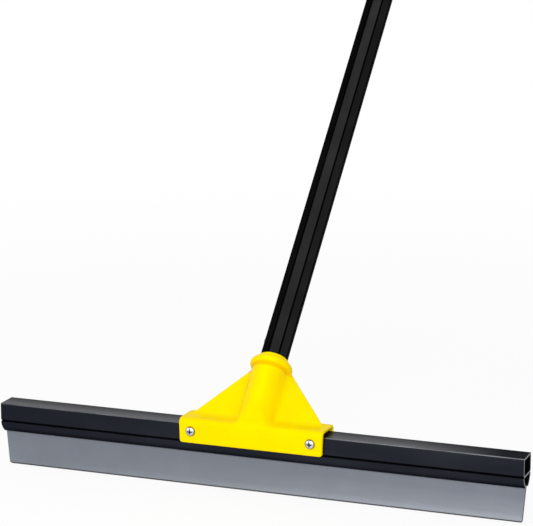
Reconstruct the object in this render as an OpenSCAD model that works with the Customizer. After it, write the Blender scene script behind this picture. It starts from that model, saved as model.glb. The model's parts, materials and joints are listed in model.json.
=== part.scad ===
// Floor squeegee: a rail with a sliding rubber blade, a moulded bracket and a screw-in pole.
// The origin is the middle of the wiping edge. X runs along the rail, and the pole leans back to +Y.

/* [Rail] */
// Length of the aluminium rail
rail_length = 508; // [300:1:900]
// Depth of the rail from front to back
rail_depth = 23.5; // [20:0.5:26]
// Height of the hollow tube above the groove
tube_height = 17; // [14:0.1:24]
// Height of the blade channel below the groove
channel_height = 11.6; // [11:0.1:16]
// Wall of the rail
rail_wall = 1.6; // [1.2:0.1:2]
// Floor between the tube and the channel
floor_wall = 1.8; // [1.6:0.1:4]
// Bulge of the channel's curved sides
channel_bulge = 1.2; // [0.8:0.1:1.3]
// Depth of the groove along each side
groove_depth = 1.8; // [0.8:0.1:2]
// Height of the groove's mouth
groove_height = 2.4; // [1:0.1:3]
// Bevel along the rail's top edges
rail_bevel = 0.8; // [0.2:0.1:1.2]

/* [Blade] */
// Height of the rubber below the rail
blade_reach = 32.7; // [20:0.1:50]
// Thickness of the rubber strip
blade_thickness = 5; // [3.5:0.1:6]
// Setback of the blade's ends from the rail's ends
blade_setback = 0.9; // [0.2:0.1:4]
// Setback of the bead from the blade's ends
bead_setback = 8; // [2:0.5:20]
// Inward slope of each end of the blade, from top to bottom
blade_end_taper = 2.7; // [0.5:0.1:6]
// Radius of the blade's lower left corner
left_corner_radius = 3; // [0.4:0.1:5]
// Radius of the blade's lower right corner
right_corner_radius = 0.6; // [0.4:0.1:5]
// Bevel on both sides of the wiping edge
wiping_bevel = 1; // [0.2:0.1:1.5]
// Clearance of the blade in its channel
blade_clearance = 0.3; // [0.1:0.05:0.5]

/* [Saddle] */
// Length of the saddle along the rail
saddle_length = 139.4; // [137:0.2:180]
// Wall of the saddle's top
saddle_top_wall = 3.1; // [2.5:0.1:5]
// Wall of the saddle's two flanges
flange_wall = 4.6; // [2.5:0.1:5]
// Reach of the flanges down the rail's sides
flange_reach = 17.3; // [12:0.1:22]
// Inward slope of each end of a flange, from top to bottom
flange_taper = 0.8; // [0.2:0.1:4]
// Radius of the flanges' lower corners
flange_corner_radius = 2; // [0.5:0.1:4]
// Radius along the saddle's top edges
saddle_edge_radius = 5; // [1:0.1:6]
// Height of the ribs that seat the saddle on the rail
rib_height = 2.7; // [1.5:0.1:4]
// Width of each rib
rib_width = 4; // [2:0.5:8]
// Number of ribs
rib_count = 5; // [2:1:8]
// Clearance of the flanges on the rail's sides
saddle_clearance = 0.1; // [0.05:0.05:0.3]

/* [Socket] */
// Lean of the pole back from upright
pole_lean = 45; // [40:1:50]
// Lead of the pole's axis ahead of the rail's middle, at the rail's top
axis_lead = 7; // [6:0.5:10]
// Outer radius of the socket
socket_radius = 16.5; // [15.6:0.1:17.5]
// Distance along the axis to where the socket's front rounds down to the saddle
socket_foot = 14; // [12:0.5:17]
// Distance along the axis to the shoulder under the pole
socket_shoulder = 50; // [46:0.5:58]
// Distance along the axis to the socket's rim
socket_rim = 73.6; // [72:0.2:95]
// Distance along the axis to the middle of the collar
collar_place = 65.2; // [64:0.2:67]
// Height of the collar along the axis
collar_height = 8.4; // [7:0.2:12]
// Reach of the collar out of the socket
collar_reach = 3.5; // [2:0.1:4.5]
// Wall of the socket's neck at the collar's top
neck_wall = 2.2; // [1.6:0.1:3]
// Wall of the socket at its rim
rim_wall = 1; // [0.8:0.1:1.5]
// Clearance of the pole in the socket
socket_clearance = 0.3; // [0.2:0.05:0.5]

/* [Webs] */
// Thickness of the webs beside the socket
web_thickness = 4; // [3:0.1:6]
// Setback of the webs' middle behind the pole's axis
web_setback = 4.5; // [2:0.5:7]
// Distance along the axis to the webs' top
web_top = 62; // [54:0.5:62.5]
// Half width across the webs' top
web_top_half = 19.8; // [17.5:0.1:20]
// Half width across the webs' foot
web_foot_half = 64.5; // [52:0.5:66]
// Fillet between the webs and the socket
web_fillet = 4; // [1:0.1:5]
// Fillet between the webs and the saddle's top
saddle_fillet = 8; // [2:0.5:10]

/* [Bolts] */
// Distance between the two bolts
bolt_spacing = 116; // [100:0.2:124]
// Depth of the bolts below the rail's top
bolt_drop = 6.1; // [5:0.1:8]
// Radius of the bolts' shank
bolt_radius = 2; // [1.5:0.1:2.2]
// Clearance of the bolts in their holes
bolt_clearance = 0.25; // [0.1:0.05:0.4]
// Radius of the bolts' pan head
head_radius = 4; // [3:0.1:5]
// Height of the pan head
head_height = 2.4; // [2:0.1:3]
// Height of the pan head's straight edge
head_edge = 1; // [0.5:0.1:1.4]
// Length across the head's cross recess
recess_length = 4.8; // [3:0.1:5.4]
// Width of each arm of the cross recess
recess_width = 1.3; // [0.8:0.1:1.5]
// Depth of the cross recess
recess_depth = 1.5; // [1:0.1:1.8]
// Outer radius of the washers
washer_radius = 4.5; // [4:0.1:6]
// Thickness of the washers
washer_thickness = 0.8; // [0.5:0.1:1.2]
// Width across the flats of the nuts
nut_width = 7; // [6.6:0.1:8]
// Height of the nuts' hexagon
nut_height = 3.2; // [2.5:0.1:4]
// Height of the round collar over the hexagon
nut_collar_height = 1.8; // [1.5:0.1:2.5]
// Radius of the nuts' round collar
nut_collar_radius = 3.2; // [3:0.1:3.3]
// Outer radius of the nylon ring
insert_radius = 2.8; // [2.6:0.05:2.9]
// Height of the nylon ring
insert_height = 1.4; // [1:0.1:1.5]
// Clearance of the nut and its nylon ring on the shank
nut_clearance = 0.05; // [0.02:0.01:0.1]
// Length of shank that stands out of the nut
bolt_end = 1; // [0.5:0.1:3]

/* [Pole] */
// Length of the pole's tube
pole_length = 1200; // [600:5:1500]
// Number of sides of the pole
pole_sides = 8; // [6:2:10]
// Radius to the pole's corners, before they are grooved
pole_corner_radius = 13.3; // [12.7:0.05:13.5]
// Radius of the groove along each corner
corner_groove_radius = 0.8; // [0.4:0.1:1]
// Radius of the pole's bore
pole_bore_radius = 10.6; // [10.2:0.1:10.8]
// Turn of the pole about its axis when it is screwed home
pole_turn = 9; // [0:1:44]

/* [Threaded tip] */
// Pitch of the coarse thread
thread_pitch = 5.08; // [4:0.01:6]
// Turns of thread on the tip
thread_turns = 5; // [4:1:5]
// Radius of the thread's crest
thread_crest_radius = 9.5; // [8.5:0.1:10]
// Depth of the thread
thread_depth = 2.2; // [1.5:0.1:2.6]
// Width of the thread at its crest
thread_crest_width = 1.7; // [1:0.1:1.8]
// Width of the thread at its root
thread_root_width = 2.9; // [2:0.1:3]
// Clearance of the thread in the socket
thread_clearance = 0.35; // [0.2:0.05:0.4]
// Length of the plug in the pole's bore
tip_plug_length = 50; // [40:1:80]
// Thickness of the flange under the pole's end
tip_flange_thickness = 1.5; // [1:0.1:3]
// Clearance of the tip and the end plug in the pole's bore
plug_clearance = 0.05; // [0.02:0.01:0.1]
// Gap left under the tip's flange when the pole is screwed home
seat_gap = 0.1; // [0.05:0.05:0.3]
// Distance of the rivet above the socket's rim
rivet_rise = 17.4; // [8:0.2:20]
// Radius of the rivet's shank
rivet_radius = 1.6; // [1.2:0.1:2]
// Radius of the rivet's round head
rivet_head_radius = 3; // [2.4:0.1:3.2]
// Height of the rivet's round head
rivet_head_height = 1.4; // [0.5:0.1:1.6]
// Depth of the rivet in the plug
rivet_depth = 6; // [3:0.5:8]

/* [Hand grip] */
// Length of the hand grip
grip_length = 150; // [100:5:250]
// Wall of the hand grip over the pole's corners
grip_wall = 2.6; // [2:0.1:4]
// Clearance of the grip on the pole
grip_clearance = 0.1; // [0.05:0.05:0.2]
// Number of raised rings on the grip
grip_rings = 12; // [4:1:16]
// Distance between the rings
grip_ring_spacing = 8; // [6:0.5:9]
// Radius of each ring's round section
grip_ring_radius = 1.4; // [0.8:0.1:1.8]
// Radius of the grip's end edges
grip_edge_radius = 1.5; // [0.5:0.1:2]

/* [Hanging loop] */
// Length of the end plug in the pole's bore
end_plug_length = 30; // [20:1:50]
// Radius of the end plug's cap
cap_radius = 14; // [13.3:0.1:16]
// Thickness of the end plug's cap
cap_thickness = 4; // [3:0.1:6]
// Radius of the cap's top edge
cap_edge_radius = 2; // [0.5:0.1:2.5]
// Thickness of the end plug's floor that the stem turns in
swivel_length = 9; // [6:0.5:14]
// Radius of the loop's stem
stem_radius = 3.3; // [2.8:0.1:4.5]
// Running clearance of the stem
stem_clearance = 0.08; // [0.02:0.01:0.1]
// End play of the loop on the plug
swivel_play = 0.3; // [0.2:0.1:0.5]
// Radius of the clip's groove in the stem
clip_groove_radius = 2.5; // [2:0.1:2.7]
// Outer radius of the clip
clip_radius = 5.5; // [5:0.1:6.5]
// Thickness of the clip
clip_thickness = 1; // [0.6:0.1:1.5]
// Clearance of the clip in its groove
clip_clearance = 0.05; // [0.02:0.01:0.1]
// Length of stem past the clip
stem_end = 2; // [1:0.5:4]
// Radius of the disc under the loop
loop_disc_radius = 9; // [7:0.5:12]
// Thickness of the disc under the loop
loop_disc_thickness = 3; // [2:0.5:5]
// Radius of the hanging hole
hole_radius = 9; // [6:0.5:12]
// Width of the loop around the hole
loop_width = 6; // [4:0.5:9]
// Thickness of the loop along the hole
loop_thickness = 7; // [5:0.5:10]
// Bevel of the loop's outer edges
loop_bevel = 1.5; // [0.5:0.1:2]

/* [Hidden] */
$fn = 64;

// Overlap of a cutting tool past the face it opens
overcut = 1;
// Steps of a rounded corner in an outline
corner_steps = 8;
// Columns of points around the thread, and turns to spare for cutting its ends square
thread_columns = 24;
spare_turns = 3;
// Depth of the socket's thread past the end of the tip
thread_runout = 1.5;
// Flat of the pole that the rivet goes through, counted from its first corner
rivet_flat = 3;

// Heights of the rail's groove and top
groove_z = blade_reach + channel_height;
rail_top = groove_z + tube_height;

// Section of the blade channel, whose sides curve from the shoulder under each groove in to two lips
slot_half = blade_thickness / 2 + blade_clearance;
lip_half = slot_half + rail_wall;
channel_shoulder = [rail_depth / 2, groove_z - groove_height / 2];
channel_lip = [lip_half, blade_reach];
channel_chord = norm(channel_shoulder - channel_lip);
channel_radius = (pow(channel_chord / 2, 2) + pow(channel_bulge, 2)) / (2 * channel_bulge);
chord_direction = (channel_shoulder - channel_lip) / channel_chord;
channel_centre = (channel_shoulder + channel_lip) / 2
    + (channel_radius - channel_bulge) * [-chord_direction.y, chord_direction.x];
cavity_top = groove_z - floor_wall / 2;

// Blade outline
blade_half = rail_length / 2 - blade_setback;
bead_radius = channel_radius - rail_wall - blade_clearance;
bead_foot = channel_centre.y - sqrt(pow(bead_radius, 2) - pow(blade_thickness / 2 - channel_centre.x, 2));
blade_step_z = bead_foot - blade_clearance;
bead_top = cavity_top - blade_clearance;

// Heights and half sizes of the saddle
saddle_inner_z = rail_top + rib_height;
saddle_top = saddle_inner_z + saddle_top_wall;
flange_bottom = rail_top - flange_reach;
saddle_inner_half = rail_depth / 2 + saddle_clearance;
saddle_outer_half = saddle_inner_half + flange_wall;
rib_pitch = (saddle_length - 2 * flange_taper) / (rib_count + 1);

// Pole section: reach of its grooved corners and distance to its flats
corner_angle = 90 - 180 / pole_sides;
pole_reach = sqrt(pow(pole_corner_radius, 2) + pow(corner_groove_radius, 2)
    - 2 * pole_corner_radius * corner_groove_radius * cos(corner_angle));
pole_flat = pole_corner_radius * cos(180 / pole_sides);

// Socket section
socket_bore = pole_reach + socket_clearance;
rim_radius = socket_bore + rim_wall;
neck_radius = socket_bore + neck_wall;
neck_base = collar_place + collar_height / 2;
collar_round = (pow(collar_height / 2, 2) + pow(collar_reach, 2)) / (2 * collar_reach);

// Webs: setback of their front, place along the axis where it meets the saddle, and depth into the saddle
web_front = web_setback - web_thickness / 2;
web_foot = (saddle_top - rail_top + web_front * sin(pole_lean)) / cos(pole_lean);
web_sink = saddle_top_wall / cos(pole_lean) + web_thickness;

// Bolts
bolt_z = rail_top - bolt_drop;
washer_y = saddle_outer_half;
nut_y = washer_y + washer_thickness;
nut_end = nut_y + nut_height + nut_collar_height;
bolt_length = saddle_outer_half + nut_end + bolt_end;
head_dome = head_height - head_edge;
head_round = (pow(head_radius, 2) + pow(head_dome, 2)) / (2 * head_dome);

// Places along the pole's axis
tip_base = socket_shoulder + seat_gap;
pole_base = tip_base + tip_flange_thickness;
pole_top = pole_base + pole_length;
thread_length = thread_turns * thread_pitch;
thread_base = tip_base - thread_length;
thread_root_radius = thread_crest_radius - thread_depth;
rivet_place = socket_rim + rivet_rise;
rivet_end = pole_bore_radius - rivet_depth;
rivet_round = (pow(rivet_head_radius, 2) + pow(rivet_head_height, 2)) / (2 * rivet_head_height);
plug_radius = pole_bore_radius - plug_clearance;
tip_flange_radius = pole_flat - corner_groove_radius;

// Grip
grip_radius = pole_reach + grip_wall;
grip_base = pole_top - grip_length;
grip_ring_base = (grip_length - (grip_rings - 1) * grip_ring_spacing) / 2;

// Loop: everything is measured up from the pole's top
cap_top = pole_top + cap_thickness;
loop_base = cap_top + swivel_play;
swivel_floor = cap_top - swivel_length;
clip_top = swivel_floor - swivel_play;
clip_pocket_radius = clip_radius + swivel_play;
clip_mouth = 2 * clip_groove_radius - clip_thickness / 2;
stem_foot = clip_top - clip_thickness - stem_end;
loop_radius = hole_radius + loop_width;
hole_place = loop_base + loop_disc_thickness + loop_radius - loop_width / 3;

// Direction of v, with a length of one
function unit(v) = v / norm(v);

// Points of a round corner between two straight sides of an outline
function round_corner(before, corner, after, radius) =
    let (
        to_before = unit(before - corner),
        to_after = unit(after - corner),
        half_angle = acos(to_before * to_after) / 2,
        centre = corner + unit(to_before + to_after) * radius / sin(half_angle),
        start = corner + to_before * radius / tan(half_angle) - centre,
        side = cross(to_before, to_after) < 0 ? 1 : -1,
        sweep = side * (180 - 2 * half_angle)
    )
    [
        for (step = [0 : corner_steps])
            let (angle = sweep * step / corner_steps)
                centre + [
                    start.x * cos(angle) - start.y * sin(angle),
                    start.x * sin(angle) + start.y * cos(angle)
                ]
    ];

// Place children on the pole's axis, at a distance from the rail's top
module along_pole(distance = 0) {
    translate([0, -axis_lead, rail_top])
        rotate([-pole_lean, 0, 0])
            translate([0, 0, distance])
                children();
}

// Run a section, drawn as depth and height, along the rail
module along_rail(length) {
    rotate([90, 0, 90])
        linear_extrude(height = length, center = true)
            children();
}

// Run a front outline, drawn as length and height, through a depth
module through_depth(depth) {
    rotate([90, 0, 0])
        linear_extrude(height = depth, center = true)
            children();
}

// Draw children at both bolts, turned so that up is to the back
module at_bolts() {
    for (side = [-1, 1])
        translate([side * bolt_spacing / 2, 0, bolt_z])
            rotate([-90, 0, 0])
                children();
}

module bolt_holes() {
    at_bolts()
        cylinder(h = 2 * saddle_outer_half + 2 * overcut, r = bolt_radius + bolt_clearance, center = true);
}

// Block with sides that curve in to the lips, inset from the channel's outer surface
module channel_block(lip, inset, top) {
    half = rail_depth / 2;
    height = top - blade_reach;
    difference() {
        translate([-half, blade_reach])
            square([2 * half, height]);
        for (side = [-1, 1])
            difference() {
                translate([side > 0 ? lip : -half - overcut, blade_reach - overcut])
                    square([half + overcut - lip, height + 2 * overcut]);
                translate([side * channel_centre.x, channel_centre.y])
                    circle(channel_radius - inset);
            }
    }
}

// Outer section of the rail: tube with bevelled top edges, channel and side grooves
module rail_outline() {
    half = rail_depth / 2;
    difference() {
        union() {
            channel_block(lip_half, 0, groove_z);
            polygon([
                [-half, channel_shoulder.y],
                [half, channel_shoulder.y],
                [half, rail_top - rail_bevel],
                [half - rail_bevel, rail_top],
                [rail_bevel - half, rail_top],
                [-half, rail_top - rail_bevel]
            ]);
        }
        for (side = [-1, 1])
            polygon([
                [side * half, channel_shoulder.y],
                [side * (half + overcut), groove_z],
                [side * half, groove_z + groove_height / 2],
                [side * (half - groove_depth), groove_z]
            ]);
    }
}

module rail_section() {
    inner_half = rail_depth / 2 - rail_wall;
    tube_floor = groove_z + floor_wall / 2;
    difference() {
        rail_outline();
        translate([-inner_half, tube_floor])
            square([2 * inner_half, rail_top - rail_wall - tube_floor]);
        channel_block(slot_half, rail_wall, cavity_top);
        translate([-slot_half, blade_reach - overcut])
            square([2 * slot_half, cavity_top - blade_reach]);
    }
}

module frame_rail() {
    color("#23262d")
        difference() {
            along_rail(rail_length)
                rail_section();
            bolt_holes();
        }
}

// Strip with a bevelled wiping edge, and the bead that fills the channel
module blade_section() {
    half = blade_thickness / 2;
    polygon([
        [wiping_bevel - half, 0],
        [half - wiping_bevel, 0],
        [half, wiping_bevel],
        [half, bead_top],
        [-half, bead_top],
        [-half, wiping_bevel]
    ]);
    channel_block(half, rail_wall + blade_clearance, bead_top);
}

// Points of the blade's right end, from its lower corner up to the top of its bead
function blade_end(corner_radius) =
    let (
        foot = [blade_half - blade_end_taper, 0],
        tip = [blade_half, blade_reach]
    )
    concat(
        round_corner([0, 0], foot, tip, corner_radius),
        [
            tip,
            [blade_half, blade_step_z],
            [blade_half - bead_setback, blade_step_z],
            [blade_half - bead_setback, bead_top]
        ]
    );

// Front outline of the blade: its right end, and a left end with the same points mirrored and reversed
module blade_outline() {
    right_end = blade_end(right_corner_radius);
    mirrored = blade_end(left_corner_radius);
    last = len(mirrored) - 1;
    left_end = [for (i = [0 : last]) [-mirrored[last - i].x, mirrored[last - i].y]];
    polygon(concat(right_end, left_end));
}

module rubber_blade() {
    color("#7f858f")
        intersection() {
            along_rail(rail_length)
                blade_section();
            through_depth(rail_depth)
                blade_outline();
        }
}

// Outer section of the saddle, with its two top edges rounded
module saddle_outline() {
    round_half = saddle_outer_half - saddle_edge_radius;
    translate([-saddle_outer_half, flange_bottom])
        square([2 * saddle_outer_half, saddle_top - saddle_edge_radius - flange_bottom]);
    translate([-round_half, flange_bottom])
        square([2 * round_half, saddle_top - flange_bottom]);
    for (side = [-1, 1])
        translate([side * round_half, saddle_top - saddle_edge_radius])
            circle(saddle_edge_radius);
}

// Front outline of the flanges, narrower at the bottom
module flange_outline() {
    foot_half = saddle_length / 2 - flange_taper;
    top_half = saddle_length / 2 + flange_taper * overcut / (saddle_top - flange_bottom);
    right_foot = [foot_half, flange_bottom];
    left_foot = [-foot_half, flange_bottom];
    right_top = [top_half, saddle_top + overcut];
    left_top = [-top_half, saddle_top + overcut];
    polygon(concat(
        [right_top, left_top],
        round_corner(left_top, left_foot, right_foot, flange_corner_radius),
        round_corner(left_foot, right_foot, right_top, flange_corner_radius)
    ));
}

module saddle_body() {
    intersection() {
        along_rail(saddle_length + 2 * overcut)
            saddle_outline();
        through_depth(2 * saddle_outer_half + 2 * overcut)
            flange_outline();
    }
}

module saddle_ribs() {
    for (rib = [1 : rib_count])
        translate([(rib - (rib_count + 1) / 2) * rib_pitch, 0, rail_top + rib_height / 2])
            cube([rib_width, 2 * saddle_inner_half, rib_height], center = true);
}

// Outer profile of the socket above its foot: tube, collar, neck and rim
module socket_profile() {
    polygon([
        [0, socket_foot],
        [socket_radius, socket_foot],
        [socket_radius, collar_place],
        [neck_radius, neck_base],
        [rim_radius, socket_rim],
        [0, socket_rim]
    ]);
    intersection() {
        translate([socket_radius + collar_reach - collar_round, collar_place])
            circle(collar_round);
        translate([0, collar_place - collar_round])
            square([socket_radius + collar_reach, 2 * collar_round]);
    }
}

// Foot of the socket: the tube runs down into the saddle, and its front rounds off along the rail
module socket_heel() {
    heel_depth = socket_foot + saddle_edge_radius;
    intersection() {
        along_pole(socket_foot - heel_depth)
            cylinder(h = heel_depth + overcut, r = socket_radius);
        along_rail(2 * socket_radius + 2 * overcut)
            translate([socket_foot * sin(pole_lean) - axis_lead, rail_top + socket_foot * cos(pole_lean)])
                rotate(-pole_lean) {
                    circle(socket_radius);
                    translate([0, -heel_depth - overcut])
                        square([socket_radius + overcut, heel_depth + 2 * overcut]);
                }
    }
}

// Outline of both webs in their own plane, across the rail and up the pole's axis
module web_outline() {
    polygon([
        [-web_foot_half, web_foot - web_sink],
        [web_foot_half, web_foot - web_sink],
        [web_foot_half, web_foot],
        [web_top_half, web_top],
        [-web_top_half, web_top],
        [-web_foot_half, web_foot]
    ]);
}

// Prism over the webs' outline, of any thickness
module web_prism(thickness) {
    along_pole()
        translate([0, web_setback, 0])
            through_depth(thickness)
                web_outline();
}

// Hollow corners between the webs' two faces and the socket, as a section across the pole's axis
module web_fillet_section() {
    for (side = [-1, 1], face = [-1, 1]) {
        face_y = web_setback + face * web_thickness / 2;
        centre_y = face_y + face * web_fillet;
        centre_x = side * sqrt(pow(socket_radius + web_fillet, 2) - pow(centre_y, 2));
        difference() {
            polygon([[0, 0], [centre_x, web_setback], [centre_x, centre_y]]);
            translate([centre_x, centre_y])
                circle(web_fillet);
        }
    }
}

// Hollow corner between the webs' front and the saddle's top, as a section across the rail
module saddle_fillet_section() {
    lean = 90 - pole_lean;
    corner_y = (saddle_top - rail_top) * tan(pole_lean) - axis_lead + web_front / cos(pole_lean);
    reach = saddle_fillet * tan(lean / 2);
    translate([corner_y, saddle_top])
        difference() {
            polygon([
                [0, 0],
                [reach * cos(lean), reach * sin(lean)],
                [-reach, saddle_fillet],
                [-reach, -saddle_top_wall / 2],
                [0, -saddle_top_wall / 2]
            ]);
            translate([-reach, saddle_fillet])
                circle(saddle_fillet);
        }
}

module web_fillets() {
    intersection() {
        union() {
            along_pole(web_foot - web_sink)
                linear_extrude(height = web_top - web_foot + web_sink + overcut)
                    web_fillet_section();
            along_rail(2 * web_foot_half)
                saddle_fillet_section();
        }
        web_prism(4 * socket_radius);
    }
}

// Points up one column of the thread, turn after turn, with a clearance all round
function thread_column(column, ease) = [
    for (turn = [0 : thread_turns + spare_turns], point = [
        [-thread_root_width / 2 - ease, thread_root_radius + ease],
        [-thread_crest_width / 2 - ease, thread_crest_radius + ease],
        [thread_crest_width / 2 + ease, thread_crest_radius + ease],
        [thread_root_width / 2 + ease, thread_root_radius + ease]
    ])
        let (angle = 360 * column / thread_columns)
            [
                point[1] * cos(angle),
                point[1] * sin(angle),
                thread_pitch * (turn + column / thread_columns) + point[0]
            ]
];

// Right-hand helical rod: columns joined side by side, with the ends closed to points on the axis
module helical_rod(ease) {
    turn_rows = 4;
    rows = turn_rows * (thread_turns + spare_turns + 1);
    last = thread_columns - 1;
    foot = thread_columns * rows;
    head = foot + 1;
    columns = [for (column = [0 : last]) thread_column(column, ease)];
    end_points = [
        [0, 0, columns[0][0].z - overcut],
        [0, 0, columns[last][rows - 1].z + overcut]
    ];
    sides = [
        for (column = [0 : last], row = [0 : rows - 2 - (column < last ? 0 : turn_rows)])
            let (
                here = column * rows + row,
                next = row + (column < last ? (column + 1) * rows : turn_rows)
            )
                each [[here, here + 1, next + 1], [here, next + 1, next]]
    ];
    foot_loop = concat(
        [for (column = [0 : last]) column * rows],
        [for (row = [turn_rows : -1 : 1]) row]
    );
    head_loop = concat(
        [rows - 1],
        [for (row = [rows - 1 - turn_rows : rows - 2]) last * rows + row],
        [for (column = [last : -1 : 1]) column * rows + rows - 1]
    );
    function fan(centre, loop) = [
        for (i = [0 : len(loop) - 1])
            [centre, loop[i], loop[(i + 1) % len(loop)]]
    ];
    polyhedron(
        concat([for (column = columns) each column], end_points),
        concat(sides, fan(foot, foot_loop), fan(head, head_loop))
    );
}

// Threaded rod on the pole's axis, cut square at both ends
module thread_rod(from, to, ease) {
    intersection() {
        along_pole(thread_base - spare_turns / 2 * thread_pitch)
            helical_rod(ease);
        along_pole(from)
            cylinder(h = to - from, r = thread_crest_radius + ease + overcut);
    }
}

module pole_bracket() {
    color("#ffe600") {
        difference() {
            union() {
                saddle_body();
                along_pole()
                    rotate_extrude()
                        socket_profile();
                socket_heel();
                web_prism(web_thickness);
                web_fillets();
            }
            translate([0, 0, saddle_inner_z / 2])
                cube([saddle_length + 2 * overcut, 2 * saddle_inner_half, saddle_inner_z], center = true);
            along_pole(socket_shoulder)
                cylinder(h = socket_rim - socket_shoulder + overcut, r = socket_bore);
            thread_rod(thread_base - thread_runout, socket_shoulder + overcut, thread_clearance);
            bolt_holes();
        }
        saddle_ribs();
    }
}

// Pan head with a cross recess, its underside at zero
module pan_head() {
    difference() {
        intersection() {
            cylinder(h = head_height, r = head_radius);
            translate([0, 0, head_height - head_round])
                sphere(head_round);
        }
        for (arm = [0, 90])
            rotate([0, 0, arm])
                translate([0, 0, head_height - recess_depth / 2 + overcut / 2])
                    cube([recess_length, recess_width, recess_depth + overcut], center = true);
    }
}

module bracket_bolts() {
    color("#c9ccd2")
        at_bolts() {
            translate([0, 0, -saddle_outer_half])
                mirror([0, 0, 1])
                    pan_head();
            translate([0, 0, -saddle_outer_half - (head_height - recess_depth) / 2])
                cylinder(h = bolt_length + (head_height - recess_depth) / 2, r = bolt_radius);
        }
}

// Ring around the axis, its underside at zero
module ring(outer, inner, height) {
    difference() {
        cylinder(h = height, r = outer);
        translate([0, 0, -overcut])
            cylinder(h = height + 2 * overcut, r = inner);
    }
}

module bolt_washers() {
    color("#b9bcc2")
        at_bolts()
            translate([0, 0, washer_y])
                ring(washer_radius, bolt_radius + bolt_clearance, washer_thickness);
}

module lock_nuts() {
    bore = bolt_radius + nut_clearance;
    color("#b9bcc2")
        at_bolts()
            translate([0, 0, nut_y])
                difference() {
                    union() {
                        cylinder(h = nut_height, r = nut_width / 2 / cos(30), $fn = 6);
                        cylinder(h = nut_height + nut_collar_height, r = nut_collar_radius);
                    }
                    translate([0, 0, -overcut])
                        cylinder(h = nut_end - nut_y + 2 * overcut, r = bore);
                    translate([0, 0, nut_end - nut_y - insert_height])
                        cylinder(h = insert_height + overcut, r = insert_radius + nut_clearance);
                }
}

module nut_inserts() {
    color("#2f6fb5")
        at_bolts()
            translate([0, 0, nut_end - insert_height])
                ring(insert_radius, bolt_radius + nut_clearance, insert_height);
}

// Turn children to the pole's rest position
module on_pole(distance) {
    along_pole(distance)
        rotate([0, 0, -pole_turn])
            children();
}

// Place children on the flat that the rivet goes through, with up pointing out of the pole
module at_rivet(distance) {
    on_pole(rivet_place)
        rotate([0, 0, -(rivet_flat + 0.5) * 360 / pole_sides])
            rotate([0, 90, 0])
                translate([0, 0, distance])
                    children();
}

module rivet_hole() {
    at_rivet(rivet_end)
        cylinder(h = rivet_depth + pole_corner_radius, r = rivet_radius + plug_clearance);
}

// Solid section of the pole, with a groove along each corner
module pole_outline() {
    difference() {
        circle(pole_corner_radius, $fn = pole_sides);
        for (corner = [1 : pole_sides])
            rotate([0, 0, corner * 360 / pole_sides])
                translate([pole_corner_radius, 0])
                    circle(corner_groove_radius);
    }
}

module pole_tube() {
    color("#1d1f23")
        difference() {
            on_pole(pole_base)
                linear_extrude(height = pole_length)
                    difference() {
                        pole_outline();
                        circle(pole_bore_radius);
                    }
            rivet_hole();
        }
}

module threaded_tip() {
    color("#2a2c30")
        difference() {
            union() {
                thread_rod(thread_base, tip_base + tip_flange_thickness / 2, 0);
                along_pole(tip_base)
                    cylinder(h = tip_flange_thickness, r = tip_flange_radius);
                along_pole(pole_base - tip_flange_thickness / 2)
                    cylinder(h = tip_plug_length + tip_flange_thickness / 2, r = plug_radius);
            }
            rivet_hole();
        }
}

module tip_rivet() {
    color("#8d9096")
        at_rivet(0) {
            intersection() {
                translate([0, 0, pole_flat + rivet_head_height - rivet_round])
                    sphere(rivet_round);
                translate([0, 0, pole_flat])
                    cylinder(h = rivet_head_height, r = rivet_head_radius);
            }
            translate([0, 0, rivet_end])
                cylinder(h = pole_flat + rivet_head_height / 2 - rivet_end, r = rivet_radius);
        }
}

// Half section of the grip: round ends and raised rings
module grip_profile() {
    edge = grip_edge_radius;
    square([grip_radius - edge, grip_length]);
    translate([0, edge])
        square([grip_radius, grip_length - 2 * edge]);
    for (height = [edge, grip_length - edge])
        translate([grip_radius - edge, height])
            circle(edge);
    for (ring = [0 : grip_rings - 1])
        translate([grip_radius, grip_ring_base + ring * grip_ring_spacing])
            circle(grip_ring_radius);
}

module hand_grip() {
    color("#17181a")
        difference() {
            along_pole(grip_base)
                rotate_extrude()
                    grip_profile();
            on_pole(grip_base - overcut)
                linear_extrude(height = grip_length + 2 * overcut)
                    circle(pole_corner_radius + grip_clearance, $fn = pole_sides);
        }
}

// Half section of the cap, its underside at zero
module cap_profile() {
    square([cap_radius - cap_edge_radius, cap_thickness]);
    square([cap_radius, cap_thickness - cap_edge_radius]);
    translate([cap_radius - cap_edge_radius, cap_thickness - cap_edge_radius])
        circle(cap_edge_radius);
}

module end_plug() {
    color("#1b1c1f")
        difference() {
            union() {
                along_pole(pole_top)
                    rotate_extrude()
                        cap_profile();
                along_pole(pole_top - end_plug_length)
                    cylinder(h = end_plug_length + cap_thickness / 2, r = plug_radius);
            }
            along_pole(pole_top - end_plug_length - overcut)
                cylinder(h = end_plug_length + cap_thickness + 2 * overcut, r = stem_radius + stem_clearance);
            along_pole(pole_top - end_plug_length - overcut)
                cylinder(h = swivel_floor - pole_top + end_plug_length + overcut, r = clip_pocket_radius);
        }
}

// Half section of the loop's ring, with bevelled outer edges
module loop_profile() {
    half = loop_thickness / 2;
    polygon([
        [hole_radius, -half],
        [loop_radius - loop_bevel, -half],
        [loop_radius, loop_bevel - half],
        [loop_radius, half - loop_bevel],
        [loop_radius - loop_bevel, half],
        [hole_radius, half]
    ]);
}

module hang_loop() {
    color("#1b1c1f") {
        along_pole(hole_place)
            rotate([90, 0, 0])
                rotate_extrude()
                    loop_profile();
        along_pole(loop_base)
            cylinder(h = loop_disc_thickness, r = loop_disc_radius);
        difference() {
            along_pole(stem_foot)
                cylinder(h = loop_base + loop_disc_thickness / 2 - stem_foot, r = stem_radius);
            along_pole(clip_top - clip_thickness - clip_clearance)
                ring(stem_radius + overcut, clip_groove_radius, clip_thickness + 2 * clip_clearance);
        }
    }
}

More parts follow.
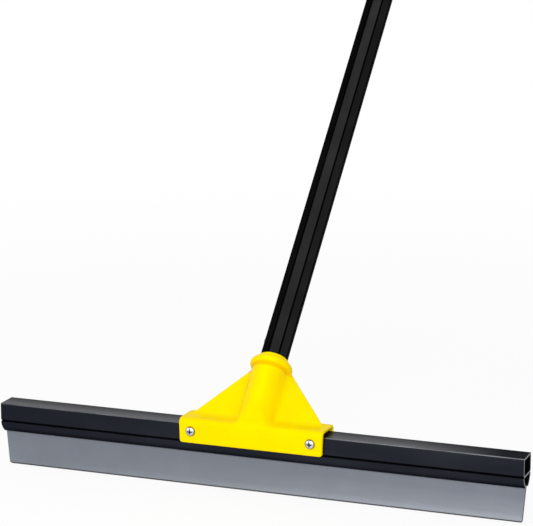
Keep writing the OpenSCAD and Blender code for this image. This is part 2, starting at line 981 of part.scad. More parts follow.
// Spring clip, open at one side so that it pushes into the stem's groove
module loop_clip() {
    bore = clip_groove_radius + clip_clearance;
    color("#9a9da3")
        along_pole(clip_top - clip_thickness)
            difference() {
                ring(clip_radius, bore, clip_thickness);
                translate([-clip_mouth / 2, 0, -overcut])
                    cube([clip_mouth, clip_radius + overcut, clip_thickness + 2 * overcut]);
            }
}

frame_rail();
rubber_blade();
pole_bracket();
bracket_bolts();
bolt_washers();
lock_nuts();
nut_inserts();
pole_tube();
threaded_tip();
tip_rivet();
hand_grip();
end_plug();
hang_loop();
loop_clip();
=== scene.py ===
import json
import math

import bmesh
import bpy
import numpy as np
from mathutils import Matrix, Vector


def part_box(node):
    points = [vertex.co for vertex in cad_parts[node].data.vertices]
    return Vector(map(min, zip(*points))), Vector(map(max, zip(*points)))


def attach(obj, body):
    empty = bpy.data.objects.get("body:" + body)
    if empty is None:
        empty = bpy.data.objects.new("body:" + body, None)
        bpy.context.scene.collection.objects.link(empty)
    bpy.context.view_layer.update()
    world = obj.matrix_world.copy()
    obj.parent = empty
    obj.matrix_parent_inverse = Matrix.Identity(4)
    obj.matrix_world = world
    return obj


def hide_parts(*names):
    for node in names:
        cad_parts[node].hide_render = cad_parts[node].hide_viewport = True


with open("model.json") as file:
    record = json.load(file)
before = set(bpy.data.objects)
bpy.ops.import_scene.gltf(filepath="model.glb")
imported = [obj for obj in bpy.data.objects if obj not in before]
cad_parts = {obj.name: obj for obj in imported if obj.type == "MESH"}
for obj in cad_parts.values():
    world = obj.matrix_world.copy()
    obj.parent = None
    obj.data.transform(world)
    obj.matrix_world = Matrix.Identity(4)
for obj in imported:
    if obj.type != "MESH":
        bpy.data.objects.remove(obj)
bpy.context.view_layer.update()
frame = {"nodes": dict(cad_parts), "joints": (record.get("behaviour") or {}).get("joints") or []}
nodes = frame["nodes"]

MM = 0.001

# Camera, fitted to the photograph's frame of 533 by 526 pixels
FRAME_WIDTH = 533
FOCAL_PIXELS = 2291.8
SENSOR_WIDTH = 36.0
CAMERA_AZIMUTH = math.radians(20.896)
CAMERA_ELEVATION = math.radians(12.092)
CAMERA_TARGET = Vector((10.214, 0.0, 214.424)) * MM
CAMERA_DISTANCE = 2050.8 * MM
CAMERA_REACH = 100.0

# Rail: half its length and depth, its top, and the height where the blade channel starts
RAIL_HALF_LENGTH, RAIL_HALF_DEPTH, RAIL_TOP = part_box("frame_rail")[1]
CHANNEL_TOP = RAIL_TOP - 17.0 * MM

# Saddle: its inner faces round the rail, which stay as exact as the solid up to near its ends
bracket_low, bracket_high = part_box("pole_bracket")
SADDLE_INNER_HALF = RAIL_HALF_DEPTH + 0.1 * MM
SADDLE_INNER_TOP = RAIL_TOP + 2.7 * MM
SADDLE_END_KEEP = bracket_high.x - 2.7 * MM
SURFACE_SLACK = 0.35 * MM

# Bolts: domed heads with a cross recess, in front of the saddle, on seats that stay exact too
HEAD_RADIUS = 4.0 * MM
HEAD_ROUND = 5.8 * MM
HEAD_FRONT = bracket_low.y - 2.4 * MM
RIM_START = 3.1 * MM
RECESS_RADIUS = 2.6 * MM
RECESS_FLOOR = HEAD_FRONT + 1.7 * MM
bolts_low, bolts_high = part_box("bracket_bolts")
BOLT_X = bolts_high.x - HEAD_RADIUS
BOLT_Z = (bolts_low.z + bolts_high.z) / 2.0
BOLT_KEEP = 4.3 * MM

# Pole: its axis, and its corners, each with a groove
pole_joint = next(joint for joint in frame["joints"] if joint["name"] == "pole_turn")
AXIS_POINT = np.array(pole_joint["pos_m"])
POLE_LEAN = math.atan2(pole_joint["axis"][1], pole_joint["axis"][2])
AXIS_DIRECTION = np.array((0.0, math.sin(POLE_LEAN), math.cos(POLE_LEAN)))
POLE_SIDES = 8
POLE_TURN = math.radians(9)
POLE_CORNER_RADIUS = 13.3 * MM
GROOVE_RADIUS = 0.8 * MM

# Socket: radii about the pole's axis and places along it. Its bore stays as exact as the solid
SOCKET_RADIUS = 16.5 * MM
BORE_KEEP = 13.9 * MM
BORE_START = 22.0 * MM
BORE_END = 72.6 * MM
COLLAR_START = 59.5 * MM
COLLAR_FOOT = 60.2 * MM

# Softening of the moulding. The heel is the socket's foot on the saddle, and the creases are
# the corners between socket and webs. A pair says where a region's weight starts and stops changing
BRACKET_VOXEL = 0.55 * MM
WELD_DISTANCE = 0.002 * MM
RELAX_SHARE = 0.5
HEEL_HALF_WIDTH = (18.0 * MM, 32.0 * MM)
HEEL_TOP = (76.0 * MM, 92.0 * MM)
HEEL_BACK = (-2.0 * MM, 8.0 * MM)
HEEL_FOOT = (52.0 * MM, 58.0 * MM)
HEEL_STEPS = 90
CREASE_REACH = (6.0 * MM, 10.0 * MM)
CREASE_FOOT = (14.0 * MM, 20.0 * MM)
CREASE_HEAD = (46.0 * MM, 57.0 * MM)
CREASE_ASIDE = (5.0 * MM, 11.0 * MM)
CREASE_STEPS = 180
EDGE_STEPS = 12
COLLAR_WEIGHT = 0.3

# Materials: the range that most of a noise's values lie in, and the depth of scratches in metal
NOISE_RANGE = (0.3, 0.7)
SCRATCH_DEPTH = 0.004 * MM

# Stage: a pale floor that is white in the picture and keeps the object's shadow
FLOOR_RADIUS = 30.0
FLOOR_SIDES = 96
FLOOR_DROP = 0.05 * MM
FLOOR_COLOR = (0.95, 0.95, 0.95, 1.0)
SHADOW_SHARE = 0.12
SHADOW_NEAR = 0.5
SHADOW_FAR = 1.6
AMBIENT = 0.5
WHITE = (1.0, 1.0, 1.0, 1.0)


def new_material(name, color, roughness, metallic=0.0, specular=0.5):
    """A material with one principled shader, and its node tree."""
    material = bpy.data.materials.new(name)
    material.use_nodes = True
    tree = material.node_tree
    shader = tree.nodes["Principled BSDF"]
    shader.inputs["Base Color"].default_value = (*color, 1.0)
    shader.inputs["Roughness"].default_value = roughness
    shader.inputs["Metallic"].default_value = metallic
    shader.inputs["Specular IOR Level"].default_value = specular
    return material, tree, shader


def dress(tree, shader, color, roughness):
    """Links the colour and roughness that the nodes work out."""
    tree.links.new(color, shader.inputs["Base Color"])
    tree.links.new(roughness, shader.inputs["Roughness"])


def bump(tree, shader, height, distance):
    node = tree.nodes.new("ShaderNodeBump")
    node.inputs["Strength"].default_value = 1.0
    node.inputs["Distance"].default_value = distance
    tree.links.new(height, node.inputs["Height"])
    tree.links.new(node.outputs["Normal"], shader.inputs["Normal"])


def coordinates(tree, kind):
    """A surface's own coordinates: Object is its place in metres, and Normal the way it faces."""
    return tree.nodes.new("ShaderNodeTexCoord").outputs[kind]


def vector_math(tree, operation, vector, other=(0.0, 0.0, 0.0)):
    node = tree.nodes.new("ShaderNodeVectorMath")
    node.operation = operation
    node.inputs[1].default_value = other
    tree.links.new(vector, node.inputs[0])
    return node.outputs


def separate(tree, vector):
    """The X, Y and Z of a vector."""
    node = tree.nodes.new("ShaderNodeSeparateXYZ")
    tree.links.new(vector, node.inputs["Vector"])
    return node.outputs


def object_vector(tree, stretch=(1.0, 1.0, 1.0), lean=0.0):
    """Places in the object's own metres, turned about X by lean and then stretched."""
    mapping = tree.nodes.new("ShaderNodeMapping")
    mapping.vector_type = "POINT"
    mapping.inputs["Rotation"].default_value = (lean, 0.0, 0.0)
    tree.links.new(coordinates(tree, "Object"), mapping.inputs["Vector"])
    return vector_math(tree, "MULTIPLY", mapping.outputs["Vector"], stretch)["Vector"]


def place_of(tree):
    """X, Y and Z of the object's own coordinates."""
    return separate(tree, coordinates(tree, "Object"))


def pole_place_of(tree):
    """Places in the pole's own frame: X aside, Y behind its axis and Z along it."""
    turned = Matrix.Rotation(POLE_LEAN, 3, "X") @ Vector(AXIS_POINT)
    leaned = object_vector(tree, lean=POLE_LEAN)
    return separate(tree, vector_math(tree, "SUBTRACT", leaned, turned)["Vector"])


def facing_aside(tree):
    """How far a surface faces along X, to either side."""
    return math_node(tree, "ABSOLUTE", separate(tree, coordinates(tree, "Normal"))["X"])


def math_node(tree, operation, first, second=None):
    """One operation on numbers or outputs."""
    node = tree.nodes.new("ShaderNodeMath")
    node.operation = operation
    for socket, value in zip(node.inputs, (first, second)):
        if value is None:
            continue
        if isinstance(value, (int, float)):
            socket.default_value = value
        else:
            tree.links.new(value, socket)
    return node.outputs["Value"]


def product(tree, first, *others):
    for other in others:
        first = math_node(tree, "MULTIPLY", first, other)
    return first


def noise(tree, vector, scale, detail):
    texture = tree.nodes.new("ShaderNodeTexNoise")
    texture.inputs["Scale"].default_value = scale
    texture.inputs["Detail"].default_value = detail
    tree.links.new(vector, texture.inputs["Vector"])
    return texture.outputs["Fac"]


def span(tree, value, from_low, from_high, to_low, to_high):
    """A value carried from one range to another, and held at the ends."""
    node = tree.nodes.new("ShaderNodeMapRange")
    for name, number in (
        ("From Min", from_low),
        ("From Max", from_high),
        ("To Min", to_low),
        ("To Max", to_high),
    ):
        node.inputs[name].default_value = number
    tree.links.new(value, node.inputs["Value"])
    return node.outputs["Result"]


def spread(tree, texture, low=0.0, high=1.0, within=NOISE_RANGE):
    """A noise's values within a range, carried to low and high."""
    return span(tree, texture, *within, low, high)


def near(tree, value, place, inner, outer):
    """One where the value is within inner of the place, falling to zero at outer."""
    away = math_node(tree, "ABSOLUTE", math_node(tree, "SUBTRACT", value, place))
    return span(tree, away, inner, outer, 1.0, 0.0)


def blend_colors(tree, factor, first, second):
    """A colour between two, each a tuple or an output."""
    node = tree.nodes.new("ShaderNodeMix")
    node.data_type = "RGBA"
    tree.links.new(factor, node.inputs["Factor"])
    for name, color in (("A", first), ("B", second)):
        socket = next(s for s in node.inputs if s.name == name and s.type == "RGBA")
        if isinstance(color, tuple):
            socket.default_value = (*color, 1.0)
        else:
            tree.links.new(color, socket)
    return next(s for s in node.outputs if s.type == "RGBA")


def rail_material():
    """Black anodised extrusion: lengthwise die lines, worn top edges with a painted highlight, bare sawn
    ends.
    """
    black = (0.017, 0.019, 0.026)
    faded = (0.030, 0.033, 0.042)
    deep = (0.0125, 0.0145, 0.0205)
    worn_and_highlight = (0.17, 0.175, 0.185)
    bare = (0.36, 0.37, 0.40)
    grey_sheen = (0.40, 0.395, 0.39)
    pale_sheen = (1.0, 1.0, 1.0)
    shade_until = 60.0 * MM
    sheen_fade = (150.0 * MM, 234.0 * MM)
    channel_fade = (CHANNEL_TOP - 1.0 * MM, CHANNEL_TOP)
    edge_band = (0.5 * MM, 1.0 * MM)
    sawn_skin = 0.05 * MM
    die_line_depth = 0.006 * MM
    material, tree, shader = new_material("rail_black_anodised", black, 0.34, metallic=1.0)
    parts = place_of(tree)

    patches = noise(tree, object_vector(tree, stretch=(0.35, 1.0, 1.0)), scale=30, detail=4)
    shade = blend_colors(tree, spread(tree, patches, within=(0.35, 0.75)), black, faded)
    # Painted shade: darker towards the left end.
    shaded_end = span(tree, parts["X"], -RAIL_HALF_LENGTH, shade_until, 0.9, 0.0)
    shade = blend_colors(tree, shaded_end, shade, deep)

    # Top edges: a paler worn line that also serves as a painted highlight, brighter towards the right
    # end.
    painted_highlight = noise(tree, object_vector(tree, stretch=(0.3, 1.0, 1.0)), scale=120, detail=4)
    edge = product(
        tree,
        near(tree, math_node(tree, "ABSOLUTE", parts["Y"]), RAIL_HALF_DEPTH, *edge_band),
        near(tree, parts["Z"], RAIL_TOP, *edge_band),
        spread(tree, painted_highlight, 0.4, 1.0, within=(0.3, 0.65)),
        span(tree, parts["X"], 0.0, RAIL_HALF_LENGTH, 0.5, 1.0),
    )
    shade = blend_colors(tree, edge, shade, worn_and_highlight)
    along = math_node(tree, "ABSOLUTE", parts["X"])
    at_end = math_node(tree, "GREATER_THAN", along, RAIL_HALF_LENGTH - sawn_skin)
    shade = blend_colors(tree, at_end, shade, bare)

    # Painted sheen: the top reflects more towards the front and away from the right end, and only
    # faintly in the channel.
    painted_sheen = product(
        tree,
        span(tree, parts["X"], *sheen_fade, 1.0, 0.0),
        span(tree, parts["Y"], -RAIL_HALF_DEPTH, RAIL_HALF_DEPTH, 1.0, 0.25),
        span(tree, parts["Z"], *channel_fade, 0.15, 1.0),
    )
    sheen = blend_colors(tree, painted_sheen, grey_sheen, pale_sheen)
    tree.links.new(sheen, shader.inputs["Specular Tint"])
    streaks = noise(tree, object_vector(tree, stretch=(0.02, 1.0, 1.0)), scale=2600, detail=4)
    dress(tree, shader, shade, spread(tree, streaks, 0.28, 0.42))
    bump(tree, shader, streaks, die_line_depth)
    return material


def blade_material():
    """Grey rubber: a faint mottle, drag lines, painted light low at the right, and painted shade on its
    ends and wiping edge.
    """
    grey = (0.145, 0.162, 0.194)
    pale = (0.305, 0.326, 0.370)
    painted_highlight = (0.40, 0.42, 0.465)
    shade_and_grime = (0.030, 0.031, 0.035)
    light_heights = (2.0 * MM, 24.0 * MM)
    light_reach = 200.0 * MM
    band_heights = (2.5 * MM, 8.0 * MM)
    shade_heights = (1.2 * MM, 2.0 * MM)
    end_facing = (0.6, 0.8)
    skin_depth = 0.012 * MM
    material, tree, shader = new_material("blade_grey_rubber", grey, 0.5, specular=0.4)
    parts = place_of(tree)

    mottle = noise(tree, object_vector(tree), scale=38, detail=4)
    drag = noise(tree, object_vector(tree, stretch=(0.05, 1.0, 1.0)), scale=900, detail=3)
    # Painted light: paler low down and towards the right, streaked along the drag lines.
    low = span(tree, parts["Z"], *light_heights, 0.9, 0.16)
    rightward = span(tree, parts["X"], -light_reach, light_reach, 0.12, 0.9)
    painted_light = product(tree, low, rightward, spread(tree, drag, 0.8, 1.0, within=(0.35, 0.7)))
    share = math_node(tree, "ADD", painted_light, spread(tree, mottle, 0.0, 0.1, within=(0.3, 0.8)))
    share.node.use_clamp = True
    shade = blend_colors(tree, share, grey, pale)

    # Painted light: a paler band near the bottom towards the right.
    band = span(tree, parts["Z"], *band_heights, 0.5, 0.0)
    shade = blend_colors(tree, product(tree, band, rightward), shade, painted_highlight)
    # Painted shade on the end faces and along the wiping edge.
    at_end = span(tree, facing_aside(tree), *end_facing, 0.0, 0.8)
    shade = blend_colors(tree, at_end, shade, shade_and_grime)
    line = span(tree, parts["Z"], *shade_heights, 1.0, 0.0)
    shade = blend_colors(tree, line, shade, shade_and_grime)
    dress(tree, shader, shade, spread(tree, mottle, 0.44, 0.58))
    bump(tree, shader, noise(tree, object_vector(tree), scale=2400, detail=2), skin_depth)
    return material


def moulded_material(name, color, second, roughness, specular, grain=1500, depth=0.012 * MM):
    """Moulded plastic or rubber: a fine even grain, and a slight drift of colour and gloss."""
    material, tree, shader = new_material(name, color, roughness, specular=specular)
    drift = noise(tree, object_vector(tree), scale=45, detail=3)
    shade = blend_colors(tree, spread(tree, drift, within=(0.35, 0.7)), color, second)
    dress(tree, shader, shade, spread(tree, drift, roughness - 0.05, roughness + 0.06))
    bump(tree, shader, noise(tree, object_vector(tree), scale=grain, detail=2), depth)
    return material


def from_bolt_axis(tree, parts):
    """Distance from the axis of the nearer of the two bolts, squared."""
    aside = math_node(tree, "SUBTRACT", math_node(tree, "ABSOLUTE", parts["X"]), BOLT_X)
    above = math_node(tree, "SUBTRACT", parts["Z"], BOLT_Z)
    return math_node(
        tree, "ADD", math_node(tree, "POWER", aside, 2.0), math_node(tree, "POWER", above, 2.0)
    )


def bracket_material():
    """Yellow moulded plastic: a painted highlight on the socket, painted shade under its collar, and a
    ring of grime and painted shade round the bolts.
    """
    yellow = (0.97, 0.735, 0.0)
    deep = (0.94, 0.69, 0.0)
    painted_highlight = (0.99, 0.79, 0.0)
    dull = (0.88, 0.53, 0.0)
    shade_and_grime = (0.16, 0.085, 0.01)
    yellow_sheen = (1.0, 0.9, 0.0, 1.0)
    highlight_place = 3.0 * MM
    highlight_width = (1.0 * MM, 10.0 * MM)
    highlight_depth = (-SOCKET_RADIUS, -10.0 * MM)
    highlight_start = (10.0 * MM, 26.0 * MM)
    corner_width = (0.7 * MM, 2.6 * MM)
    ring_radii = (HEAD_RADIUS + 0.3 * MM, HEAD_RADIUS + 1.2 * MM)
    grain_depth = 0.010 * MM
    material, tree, shader = new_material("bracket_yellow_plastic", yellow, 0.42, specular=0.05)
    shader.inputs["Specular Tint"].default_value = yellow_sheen
    parts = pole_place_of(tree)

    drift = noise(tree, object_vector(tree), scale=45, detail=3)
    shade = blend_colors(tree, spread(tree, drift, within=(0.35, 0.7)), yellow, deep)
    # Painted highlight: paler down the front of the socket.
    front = product(
        tree,
        near(tree, parts["X"], highlight_place, *highlight_width),
        span(tree, parts["Y"], *highlight_depth, 1.0, 0.0),
        span(tree, parts["Z"], *highlight_start, 0.0, 1.0),
    )
    shade = blend_colors(tree, front, shade, painted_highlight)
    # Painted shade in the corner under the collar.
    corner_shade = near(tree, parts["Z"], COLLAR_FOOT, *corner_width)
    shade = blend_colors(tree, corner_shade, shade, dull)
    # A ring of grime and painted shade round each bolt head.
    away = math_node(tree, "SQRT", from_bolt_axis(tree, place_of(tree)))
    ring = span(tree, away, *ring_radii, 0.85, 0.0)
    shade = blend_colors(tree, ring, shade, shade_and_grime)

    scuffs = noise(tree, object_vector(tree, stretch=(1.0, 0.4, 0.4)), scale=160, detail=4)
    dress(tree, shader, shade, spread(tree, scuffs, 0.36, 0.5))
    bump(tree, shader, noise(tree, object_vector(tree), scale=1300, detail=2), grain_depth)
    return material


def scratch_noise(tree):
    """Fine scratches on plated metal."""
    return noise(tree, object_vector(tree, stretch=(1.0, 0.1, 1.0)), scale=5200, detail=3)


def bolt_material():
    """Bright zinc plate, with painted shade down in the cross recess, and grime and painted shade round
    the head's rim.
    """
    bright = (0.66, 0.68, 0.72)
    dull = (0.44, 0.45, 0.49)
    painted_shade = (0.035, 0.040, 0.062)
    shade_and_grime = (0.20, 0.12, 0.06)
    shade_depths = (0.12 * MM, 0.6 * MM)
    material, tree, shader = new_material("bolt_zinc_steel", bright, 0.26, metallic=1.0)
    parts = place_of(tree)

    patches = noise(tree, object_vector(tree), scale=420, detail=3)
    shade = blend_colors(tree, spread(tree, patches, within=(0.4, 0.75)), bright, dull)
    away = from_bolt_axis(tree, parts)
    # A brown rim of grime and painted shade round the head.
    rim = span(tree, away, RIM_START**2, HEAD_RADIUS**2, 0.0, 0.75)
    shade = blend_colors(tree, rim, shade, shade_and_grime)
    # Painted shade down in the cross recess.
    dome = math_node(tree, "DIVIDE", away, 2.0 * HEAD_ROUND)
    depth = math_node(tree, "SUBTRACT", math_node(tree, "SUBTRACT", parts["Y"], HEAD_FRONT), dome)
    recess = product(
        tree,
        span(tree, depth, *shade_depths, 0.0, 1.0),
        math_node(tree, "LESS_THAN", away, RECESS_RADIUS**2),
        math_node(tree, "LESS_THAN", parts["Y"], RECESS_FLOOR),
    )
    shade = blend_colors(tree, recess, shade, painted_shade)

    scratches = scratch_noise(tree)
    dress(tree, shader, shade, spread(tree, scratches, 0.18, 0.36))
    bump(tree, shader, scratches, SCRATCH_DEPTH)
    return material


def steel_material(name, color, roughness):
    """Plain or plated metal with fine scratches and duller patches."""
    dull = tuple(0.72 * part for part in color)
    material, tree, shader = new_material(name, color, roughness, metallic=1.0)
    patches = noise(tree, object_vector(tree), scale=420, detail=3)
    shade = blend_colors(tree, spread(tree, patches, within=(0.45, 0.8)), color, dull)
    scratches = scratch_noise(tree)
    dress(tree, shader, shade, spread(tree, scratches, roughness - 0.08, roughness + 0.1))
    bump(tree, shader, scratches, SCRATCH_DEPTH)
    return material


def from_pole_corner(tree):
    """Angle about the pole's axis from the nearest of its corners."""
    parts = pole_place_of(tree)
    around = math_node(tree, "ARCTAN2", parts["Y"], parts["X"])
    turned = math_node(tree, "ADD", around, POLE_TURN)
    return math_node(tree, "PINGPONG", turned, math.pi / POLE_SIDES)


def pole_material():
    """Black coated tube with painted shade in its grooves and faint marks drawn along its length."""
    black = (0.0155, 0.0156, 0.0160)
    faded = (0.0215, 0.0216, 0.0220)
    painted_shade = (0.0015, 0.0015, 0.0016)
    no_sheen = (0.0, 0.0, 0.0, 1.0)
    groove = GROOVE_RADIUS / POLE_CORNER_RADIUS
    mark_depth = 0.006 * MM
    material, tree, shader = new_material("pole_black_coated", black, 0.36, metallic=1.0)
    shader.inputs["Specular Tint"].default_value = no_sheen

    patches = noise(tree, object_vector(tree), scale=30, detail=4)
    shade = blend_colors(tree, spread(tree, patches, within=(0.4, 0.8)), black, faded)
    # Painted shade in the grooves at the corners.
    groove_shade = span(tree, from_pole_corner(tree), groove, 1.3 * groove, 1.0, 0.0)
    shade = blend_colors(tree, groove_shade, shade, painted_shade)
    lengthwise = object_vector(tree, stretch=(1.0, 1.0, 0.012), lean=POLE_LEAN)
    drawn = noise(tree, lengthwise, scale=2400, detail=3)
    dress(tree, shader, shade, spread(tree, drawn, 0.3, 0.44))
    bump(tree, shader, drawn, mark_depth)
    return material


def welded_copy(name, source):
    """The node's mesh with the seams between its faces closed."""
    mesh = source.data.copy()
    mesh.name = name
    mesh.materials.clear()
    work = bmesh.new()
    work.from_mesh(mesh)
    bmesh.ops.remove_doubles(work, verts=work.verts, dist=WELD_DISTANCE)
    work.to_mesh(mesh)
    work.free()
    piece = bpy.data.objects.new(name, mesh)
    bpy.context.scene.collection.objects.link(piece)
    return piece


def remeshed(name, source, voxel):
    """A new object with the node's shape in small even faces."""
    piece = welded_copy(name, source)
    modifier = piece.modifiers.new("remesh", "REMESH")
    modifier.mode = "VOXEL"
    modifier.voxel_size = voxel
    graph = bpy.context.evaluated_depsgraph_get()
    mesh = bpy.data.meshes.new_from_object(piece.evaluated_get(graph))
    piece.modifiers.clear()
    piece.data = mesh
    mesh.name = name
    return piece


def points_of(mesh):
    points = np.empty(len(mesh.vertices) * 3)
    mesh.vertices.foreach_get("co", points)
    return points.reshape(-1, 3)


def relax(mesh, weights, steps):
    """Draws each point towards its neighbours' middle, which rounds edges and fills corners."""
    points = points_of(mesh)
    edges = np.empty(len(mesh.edges) * 2, dtype=np.int64)
    mesh.edges.foreach_get("vertices", edges)
    first, second = edges.reshape(-1, 2).T
    moving = (weights[first] > 0.0) | (weights[second] > 0.0)
    first, second = first[moving], second[moving]
    count = len(points)
    degree = np.bincount(first, minlength=count) + np.bincount(second, minlength=count)
    for _ in range(steps):
        middle = np.empty_like(points)
        for axis in range(3):
            middle[:, axis] = np.bincount(first, points[second, axis], count)
            middle[:, axis] += np.bincount(second, points[first, axis], count)
        middle /= np.maximum(degree, 1)[:, None]
        points += (middle - points) * (RELAX_SHARE * weights)[:, None]
    mesh.vertices.foreach_set("co", points.ravel())
    mesh.update()


def smooth_shaded(piece):
    piece.data.polygons.foreach_set("use_smooth", [True] * len(piece.data.polygons))
    piece.data.update()


def pole_places(points):
    """Distance of each point along the pole's axis, and away from it."""
    offset = points - AXIS_POINT
    along = offset @ AXIS_DIRECTION
    away = np.linalg.norm(offset - along[:, None] * AXIS_DIRECTION, axis=1)
    return along, away


def rise(values, start, end):
    """Zero up to start and one from end on, with a smooth step between."""
    share = np.clip((values - start) / (end - start), 0.0, 1.0)
    return share * share * (3.0 - 2.0 * share)


def free_points(points, along, away):
    """One for each point that may move, and zero on the bore, the inner faces and the bolt seats."""
    free = np.ones(len(points))
    free[(away < BORE_KEEP) & (along > BORE_START) & (along < BORE_END)] = 0.0
    inside = np.abs(points[:, 1]) < SADDLE_INNER_HALF + SURFACE_SLACK
    inside &= np.abs(points[:, 0]) < SADDLE_END_KEEP
    free[inside & (points[:, 2] < SADDLE_INNER_TOP + SURFACE_SLACK)] = 0.0
    from_bolt = np.hypot(np.abs(points[:, 0]) - BOLT_X, points[:, 2] - BOLT_Z)
    free[from_bolt < BOLT_KEEP] = 0.0
    return free


def make_bracket():
    """The moulded bracket, with its edges rounded and its inner corners filled."""
    piece = remeshed("bracket_moulding", nodes["pole_bracket"], BRACKET_VOXEL)
    points = points_of(piece.data)
    along, away = pole_places(points)
    free = free_points(points, along, away)
    heel = 1.0 - rise(np.abs(points[:, 0]), *HEEL_HALF_WIDTH)
    heel *= 1.0 - rise(points[:, 2], *HEEL_TOP)
    heel *= 1.0 - rise(points[:, 1], *HEEL_BACK)
    heel *= rise(points[:, 2], *HEEL_FOOT)
    crease = 1.0 - rise(away - SOCKET_RADIUS, *CREASE_REACH)
    crease *= rise(along, *CREASE_FOOT)
    crease *= 1.0 - rise(along, *CREASE_HEAD)
    crease *= rise(np.abs(points[:, 0]), *CREASE_ASIDE)
    collar = np.where(along > COLLAR_START, COLLAR_WEIGHT, 1.0)
    relax(piece.data, free * crease, CREASE_STEPS)
    relax(piece.data, free * np.maximum(heel, crease), HEEL_STEPS)
    relax(piece.data, free * collar, EDGE_STEPS)
    smooth_shaded(piece)
    return piece


def paint(piece, material):
    piece.data.materials.clear()
    piece.data.materials.append(material)


bracket = make_bracket()
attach(bracket, "head")
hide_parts("pole_bracket")
paint(bracket, bracket_material())

blue_nylon = moulded_material(
    "insert_blue_nylon", (0.03, 0.1, 0.36), (0.02, 0.08, 0.3), roughness=0.5, specular=0.4
)
tip_nylon = moulded_material(
    "tip_black_nylon", (0.02, 0.02, 0.022), (0.03, 0.03, 0.032), roughness=0.5, specular=0.4
)
grip_rubber = moulded_material(
    "grip_black_rubber",
    (0.012, 0.012, 0.013),
    (0.02, 0.02, 0.021),
    roughness=0.62,
    specular=0.3,
    grain=1100,
    depth=0.03 * MM,
)
black_plastic = (0.014, 0.014, 0.016)
faded_plastic = (0.022, 0.022, 0.024)
plug_plastic = moulded_material(
    "plug_black_plastic", black_plastic, faded_plastic, roughness=0.48, specular=0.35
)
loop_plastic = moulded_material(
    "loop_black_plastic", black_plastic, faded_plastic, roughness=0.45, specular=0.35
)

paint(nodes["frame_rail"], rail_material())
paint(nodes["rubber_blade"], blade_material())
paint(nodes["bracket_bolts"], bolt_material())
paint(nodes["bolt_washers"], steel_material("washer_zinc_steel", (0.56, 0.57, 0.6), roughness=0.36))
paint(nodes["lock_nuts"], steel_material("nut_zinc_steel", (0.54, 0.55, 0.58), roughness=0.34))
paint(nodes["nut_inserts"], blue_nylon)
paint(nodes["pole_tube"], pole_material())
paint(nodes["threaded_tip"], tip_nylon)
paint(nodes["tip_rivet"], steel_material("rivet_aluminium", (0.5, 0.5, 0.52), roughness=0.35))
paint(nodes["hand_grip"], grip_rubber)
paint(nodes["end_plug"], plug_plastic)
paint(nodes["hang_loop"], loop_plastic)
paint(nodes["loop_clip"], steel_material("clip_spring_steel", (0.4, 0.41, 0.43), roughness=0.34))


def seen_directly(tree):
    """One for rays from the camera, a reflection or a clear material, and zero for the light itself."""
    path = tree.nodes.new("ShaderNodeLightPath")
    seen = math_node(tree, "ADD", path.outputs["Is Camera Ray"], path.outputs["Is Glossy Ray"])
    seen = math_node(tree, "ADD", seen, path.outputs["Is Transmission Ray"])
    seen.node.use_clamp = True
    return seen


def floor_material():
    """White where it is seen, with a share of the object's shadow near the middle."""
    material = bpy.data.materials.new("floor_white")
    material.use_nodes = True
    tree = material.node_tree
    tree.nodes.clear()
    output = tree.nodes.new("ShaderNodeOutputMaterial")
    diffuse = tree.nodes.new("ShaderNodeBsdfDiffuse")
    diffuse.inputs["Color"].default_value = FLOOR_COLOR
    glow = tree.nodes.new("ShaderNodeEmission")
    glow.inputs["Strength"].default_value = 1.0
    length = vector_math(tree, "LENGTH", coordinates(tree, "Object"))["Value"]
    share = span(tree, length, SHADOW_NEAR, SHADOW_FAR, 1.0 - SHADOW_SHARE, 1.0)
    mixed = tree.nodes.new("ShaderNodeMixShader")
    tree.links.new(product(tree, share, seen_directly(tree)), mixed.inputs["Fac"])
    tree.links.new(diffuse.outputs["BSDF"], mixed.inputs[1])
    tree.links.new(glow.outputs["Emission"], mixed.inputs[2])
    tree.links.new(mixed.outputs["Shader"], output.inputs["Surface"])
    return material


def make_floor():
    mesh = bpy.data.meshes.new("floor")
    work = bmesh.new()
    bmesh.ops.create_circle(work, cap_ends=True, segments=FLOOR_SIDES, radius=FLOOR_RADIUS)
    work.to_mesh(mesh)
    work.free()
    floor = bpy.data.objects.new("floor", mesh)
    floor.location.z = -FLOOR_DROP
    bpy.context.scene.collection.objects.link(floor)
    mesh.materials.append(floor_material())


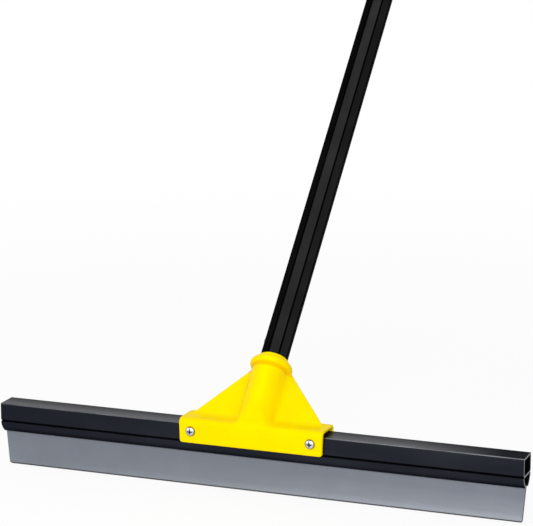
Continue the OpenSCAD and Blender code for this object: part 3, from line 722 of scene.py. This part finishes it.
def make_world():
    """White where it is seen, and a plain even light on the object."""
    world = bpy.data.worlds.new("studio")
    bpy.context.scene.world = world
    world.use_nodes = True
    tree = world.node_tree
    background = tree.nodes["Background"]
    background.inputs["Color"].default_value = WHITE
    strength = span(tree, seen_directly(tree), 0.0, 1.0, AMBIENT, 1.0)
    tree.links.new(strength, background.inputs["Strength"])


def area_lamp(name, place, aim, size, power):
    """A round soft lamp, in metres and watts."""
    data = bpy.data.lights.new(name, "AREA")
    data.shape = "DISK"
    data.size = size
    data.energy = power
    lamp = bpy.data.objects.new(name, data)
    lamp.location = place
    direction = Vector(aim) - Vector(place)
    lamp.rotation_mode = "QUATERNION"
    lamp.rotation_quaternion = direction.to_track_quat("-Z", "Y")
    bpy.context.scene.collection.objects.link(lamp)


def make_camera():
    data = bpy.data.cameras.new("camera")
    data.sensor_width = SENSOR_WIDTH
    data.lens = SENSOR_WIDTH * FOCAL_PIXELS / FRAME_WIDTH
    data.clip_end = CAMERA_REACH
    camera = bpy.data.objects.new("camera", data)
    flat = math.cos(CAMERA_ELEVATION)
    back = Vector((
        math.sin(CAMERA_AZIMUTH) * flat,
        -math.cos(CAMERA_AZIMUTH) * flat,
        math.sin(CAMERA_ELEVATION),
    ))
    camera.location = CAMERA_TARGET + back * CAMERA_DISTANCE
    camera.rotation_mode = "QUATERNION"
    camera.rotation_quaternion = (-back).to_track_quat("-Z", "Y")
    bpy.context.scene.collection.objects.link(camera)
    bpy.context.scene.camera = camera


make_floor()
make_world()
area_lamp("key", place=(0.5, -2.15, 1.4), aim=(0.0, 0.0, 0.1), size=1.2, power=24.0)
area_lamp("overhead", place=(-0.79, -0.49, 2.1), aim=(0.0, 0.0, 0.1), size=1.0, power=6.0)
area_lamp("pole_sheen", place=(0.1, 0.15, 2.1), aim=(0.0, 0.3, 0.35), size=0.7, power=2.0)
area_lamp("fill", place=(1.0, -1.1, 0.45), aim=(0.2, 0.0, 0.05), size=0.6, power=4.0)
area_lamp("left_fill", place=(-1.3, -0.7, 0.5), aim=(0.0, 0.0, 0.09), size=0.6, power=3.2)
make_camera()
bpy.context.scene.view_settings.view_transform = "Standard"
